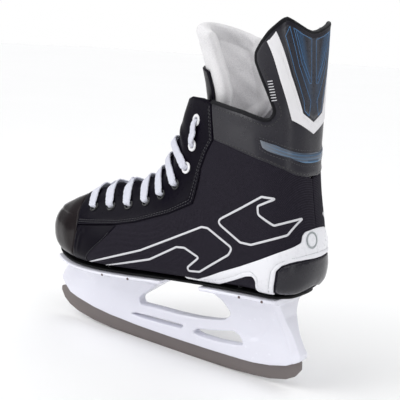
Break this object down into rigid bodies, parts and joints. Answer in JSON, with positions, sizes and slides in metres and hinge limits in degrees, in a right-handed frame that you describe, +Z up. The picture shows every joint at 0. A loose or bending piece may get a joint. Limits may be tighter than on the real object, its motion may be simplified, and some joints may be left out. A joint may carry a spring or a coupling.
{
  "type": "ice skate",
  "caption": "Left hockey-style ice skate: padded lace-up boot with felt tongue and flexing tendon guard, riveted to a plastic holder that carries a steel runner.",
  "frame": {"origin": "on the ground line, at the middle of the flat of the runner's edge", "axes": "+X towards the heel, +Y towards the inner side of the left foot, +Z up; the runner's edge rests on Z=0"},
  "size_m": [0.2858, 0.0972, 0.2956],
  "materials": {
    "runner_steel": "ground steel",
    "rivet_steel": "satin",
    "holder_plastic": "glossy moulded",
    "outsole_rubber": "satin",
    "board": "matte",
    "footbed_foam": "brushed",
    "toe_cap_leather": "glossy",
    "black_leather": "smooth",
    "woven_textile": "ballistic weave",
    "collar_leather": "satin synthetic",
    "ankle_insert_vinyl": "striped",
    "guard_panel_vinyl": "navy with fine lines",
    "white_vinyl": "satin",
    "heel_support_plastic": "moulded",
    "heel_counter_vinyl": "glossy",
    "felt": "felt",
    "eyelet_white": "gloss",
    "eyelet_black": "gloss",
    "lace_cotton": "flat braid"
  },
  "bodies": {
    "root": {"ankle_collar": "collar_leather", "ankle_insert": "ankle_insert_vinyl", "eyelet_lateral_1": "eyelet_white", "eyelet_lateral_2": "eyelet_white", "eyelet_lateral_3": "eyelet_white", "eyelet_lateral_4": "eyelet_black", "eyelet_lateral_5": "eyelet_black", "eyelet_lateral_6": "eyelet_black", "eyelet_lateral_7": "eyelet_black", "eyelet_lateral_8": "eyelet_black", "eyelet_lateral_9": "eyelet_black", "eyelet_medial_1": "eyelet_white", "eyelet_medial_2": "eyelet_white", "eyelet_medial_3": "eyelet_white", "eyelet_medial_4": "eyelet_black", "eyelet_medial_5": "eyelet_black", "eyelet_medial_6": "eyelet_black", "eyelet_medial_7": "eyelet_black", "eyelet_medial_8": "eyelet_black", "eyelet_medial_9": "eyelet_black", "facing_lateral": "black_leather", "facing_medial": "black_leather", "footbed": "footbed_foam", "front_rivet_1": "rivet_steel", "front_rivet_2": "rivet_steel", "front_rivet_3": "rivet_steel", "front_rivet_4": "rivet_steel", "front_rivet_5": "rivet_steel", "front_rivet_6": "rivet_steel", "heel_counter": "heel_counter_vinyl", "heel_support": "heel_support_plastic", "holder": "holder_plastic", "insole_board": "board", "lace": "lace_cotton", "lining": "felt", "outsole": "outsole_rubber", "quarter_lateral": "woven_textile", "quarter_medial": "woven_textile", "rear_rivet_1": "rivet_steel", "rear_rivet_2": "rivet_steel", "rear_rivet_3": "rivet_steel", "rear_rivet_4": "rivet_steel", "runner": "runner_steel", "toe_cap": "toe_cap_leather", "toe_patch_lateral": "black_leather", "toe_patch_medial": "black_leather", "tongue_lining": "felt", "tongue_shell": "black_leather"},
    "tendon_guard": {"tendon_guard": "collar_leather", "guard_pad": "felt", "guard_chevron": "white_vinyl", "guard_panel": "guard_panel_vinyl"},
    "tongue_top": {"tongue_flap": "black_leather", "tongue_felt": "felt"}
  },
  "joints": [
    {"name": "guard_flex", "type": "hinge", "parent": "root", "child": "tendon_guard", "pos_m": [0.128, 0, 0.209], "axis": [0, 1, 0], "range_deg": [-1.5, 15], "stiffness_Nm_per_rad": 3},
    {"name": "tongue_bend", "type": "hinge", "parent": "root", "child": "tongue_top", "pos_m": [0.036, 0, 0.228], "axis": [0, 1, 0], "range_deg": [-25, 3], "stiffness_Nm_per_rad": 1.5}
  ]
}
